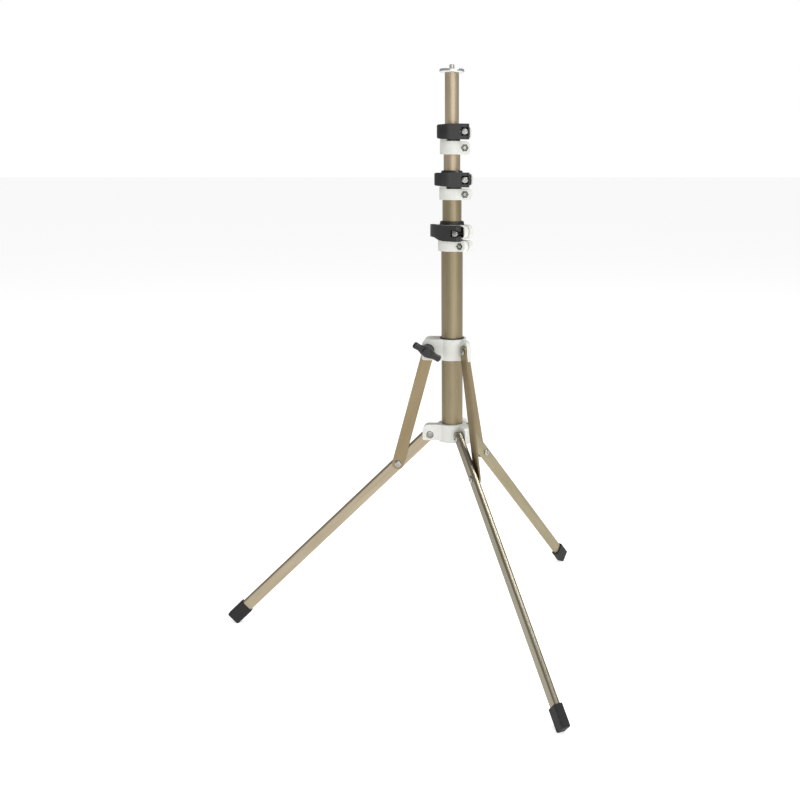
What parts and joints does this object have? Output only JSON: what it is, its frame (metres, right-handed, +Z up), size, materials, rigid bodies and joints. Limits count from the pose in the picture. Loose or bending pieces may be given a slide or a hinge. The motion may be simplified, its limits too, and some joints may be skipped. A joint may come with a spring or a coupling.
{
  "type": "telescoping tripod stand",
  "caption": "Compact telescoping tripod stand: champagne aluminium tubes with lever clamps, flat legs braced by stays from a knob-locked sliding collar, rubber feet and a threaded chrome head.",
  "frame": {"origin": "centre of the footprint's bounding box on the floor, with the legs spread as drawn", "axes": "+Z up along the column to the camera head; -Y towards the front leg"},
  "size_m": [0.4872, 0.4252, 0.675],
  "materials": {
    "anodised_tube": "satin champagne anodising",
    "stay_metal": "satin bronze anodising",
    "white_plastic": "moulded, fine texture",
    "black_plastic": "moulded, fine texture",
    "foot_rubber": "moulded",
    "zinc_steel": "bright zinc plate",
    "chrome_head": "polished"
  },
  "bodies": {
    "column": {"column_tube": "anodised_tube", "column_end_plug": "black_plastic", "lower_collar": "white_plastic", "front_leg_pivot": "zinc_steel", "rear_leg_pivot": "zinc_steel", "left_leg_pivot": "zinc_steel", "clamp_3_body": "white_plastic", "clamp_3_sleeve": "black_plastic", "clamp_3_lever_barrel": "zinc_steel", "clamp_3_lever_bolt": "zinc_steel", "clamp_3_lever_nut": "zinc_steel", "clamp_3_band_bolt": "zinc_steel", "clamp_3_band_nut": "zinc_steel"},
    "third_bush": {"third_tube_bush": "black_plastic"},
    "third_section": {"third_tube": "anodised_tube", "clamp_2_body": "white_plastic", "clamp_2_sleeve": "black_plastic", "clamp_2_lever_barrel": "zinc_steel", "clamp_2_lever_bolt": "zinc_steel", "clamp_2_lever_nut": "zinc_steel", "clamp_2_band_bolt": "zinc_steel", "clamp_2_band_nut": "zinc_steel"},
    "second_bush": {"second_tube_bush": "black_plastic"},
    "second_section": {"second_tube": "anodised_tube", "clamp_1_body": "white_plastic", "clamp_1_sleeve": "black_plastic", "clamp_1_lever_barrel": "zinc_steel", "clamp_1_lever_bolt": "zinc_steel", "clamp_1_lever_nut": "zinc_steel", "clamp_1_band_bolt": "zinc_steel", "clamp_1_band_nut": "zinc_steel"},
    "top_bush": {"top_tube_bush": "black_plastic"},
    "top_section": {"top_tube": "anodised_tube", "head_plate": "chrome_head", "camera_stud": "chrome_head"},
    "lever_3": {"clamp_3_lever": "black_plastic"},
    "lever_2": {"clamp_2_lever": "black_plastic"},
    "lever_1": {"clamp_1_lever": "black_plastic"},
    "sliding_collar": {"upper_collar": "white_plastic", "collar_liner": "black_plastic", "front_stay_pivot": "zinc_steel", "rear_stay_pivot": "zinc_steel", "knob_nut": "zinc_steel"},
    "knob": {"wing_knob": "black_plastic", "knob_screw": "zinc_steel"},
    "front_leg": {"front_leg": "anodised_tube", "front_foot": "foot_rubber", "front_leg_rivet": "zinc_steel"},
    "front_stay": {"front_stay": "stay_metal", "front_stay_rivet": "zinc_steel"},
    "rear_leg": {"rear_leg": "anodised_tube", "rear_foot": "foot_rubber", "rear_leg_rivet": "zinc_steel"},
    "rear_stay": {"rear_stay": "stay_metal", "rear_stay_rivet": "zinc_steel"},
    "left_leg": {"left_leg": "anodised_tube", "left_foot": "foot_rubber", "left_leg_rivet": "zinc_steel"},
    "left_stay": {"left_stay": "stay_metal", "left_stay_rivet": "zinc_steel"}
  },
  "joints": [
    {"name": "third_section_slide", "type": "slide", "parent": "column", "child": "third_bush", "axis": [0, 0, 1], "range_m": [-0.0225, 0.155]},
    {"name": "third_section_turn", "type": "hinge", "parent": "third_bush", "child": "third_section", "pos_m": [-0.0015, 0.06666, 0.54], "axis": [0, 0, 1], "continuous": true},
    {"name": "second_section_slide", "type": "slide", "parent": "third_section", "child": "second_bush", "axis": [0, 0, 1], "range_m": [-0.0165, 0.175]},
    {"name": "second_section_turn", "type": "hinge", "parent": "second_bush", "child": "second_section", "pos_m": [-0.0015, 0.06666, 0.59], "axis": [0, 0, 1], "continuous": true},
    {"name": "top_section_slide", "type": "slide", "parent": "second_section", "child": "top_bush", "axis": [0, 0, 1], "range_m": [-0.05, 0.155]},
    {"name": "top_section_turn", "type": "hinge", "parent": "top_bush", "child": "top_section", "pos_m": [-0.0015, 0.06666, 0.66], "axis": [0, 0, 1], "continuous": true},
    {"name": "clamp_3_lever_turn", "type": "hinge", "parent": "column", "child": "lever_3", "pos_m": [-0.00568, 0.04531, 0.4863], "axis": [0, 0, -1], "range_deg": [-140, 0]},
    {"name": "clamp_2_lever_turn", "type": "hinge", "parent": "third_section", "child": "lever_2", "pos_m": [0.00553, 0.04732, 0.5467], "axis": [0, 0, -1], "range_deg": [-140, 0]},
    {"name": "clamp_1_lever_turn", "type": "hinge", "parent": "second_section", "child": "lever_1", "pos_m": [0.00535, 0.04741, 0.6006], "axis": [0, 0, -1], "range_deg": [-140, 0]},
    {"name": "front_leg_fold", "type": "hinge", "parent": "column", "child": "front_leg", "pos_m": [-0.0015, 0.04126, 0.248], "axis": [-1, 0, 0], "range_deg": [0, 129.5]},
    {"name": "rear_leg_fold", "type": "hinge", "parent": "column", "child": "rear_leg", "pos_m": [0.0205, 0.07936, 0.248], "axis": [0.5, -0.866, 0], "range_deg": [0, 129.5]},
    {"name": "left_leg_fold", "type": "hinge", "parent": "column", "child": "left_leg", "pos_m": [-0.0235, 0.07936, 0.248], "axis": [0.5, 0.866, 0], "range_deg": [0, 129.5]},
    {"name": "collar_slide", "type": "slide", "parent": "column", "child": "sliding_collar", "axis": [0, 0, 1], "range_m": [-0.001, 0.1002]},
    {"name": "front_stay_swing", "type": "hinge", "parent": "sliding_collar", "child": "front_stay", "pos_m": [-0.0015, 0.03986, 0.3502], "axis": [1, 0, 0], "range_deg": [-0.5, 14.3]},
    {"name": "rear_stay_swing", "type": "hinge", "parent": "sliding_collar", "child": "rear_stay", "pos_m": [0.02171, 0.08006, 0.3502], "axis": [-0.5, 0.866, 0], "range_deg": [-0.5, 14.3]},
    {"name": "left_stay_swing", "type": "hinge", "parent": "sliding_collar", "child": "left_stay", "pos_m": [-0.02471, 0.08006, 0.3502], "axis": [-0.5, -0.866, 0], "range_deg": [-0.5, 14.3]},
    {"name": "wing_knob_turn", "type": "hinge", "parent": "sliding_collar", "child": "knob", "pos_m": [-0.03471, 0.06274, 0.3502], "axis": [-0.5, -0.866, 0], "range_deg": [0, 450]}
  ],
  "couplings": [
    {"joint": "rear_leg_fold", "follows": "front_leg_fold", "ratio": 1},
    {"joint": "left_leg_fold", "follows": "front_leg_fold", "ratio": 1},
    {"joint": "collar_slide", "follows": "front_leg_fold", "m_per_rad": 0.043901},
    {"joint": "front_stay_swing", "follows": "front_leg_fold", "ratio": 0.10653},
    {"joint": "rear_stay_swing", "follows": "front_leg_fold", "ratio": 0.10653},
    {"joint": "left_stay_swing", "follows": "front_leg_fold", "ratio": 0.10653}
  ]
}
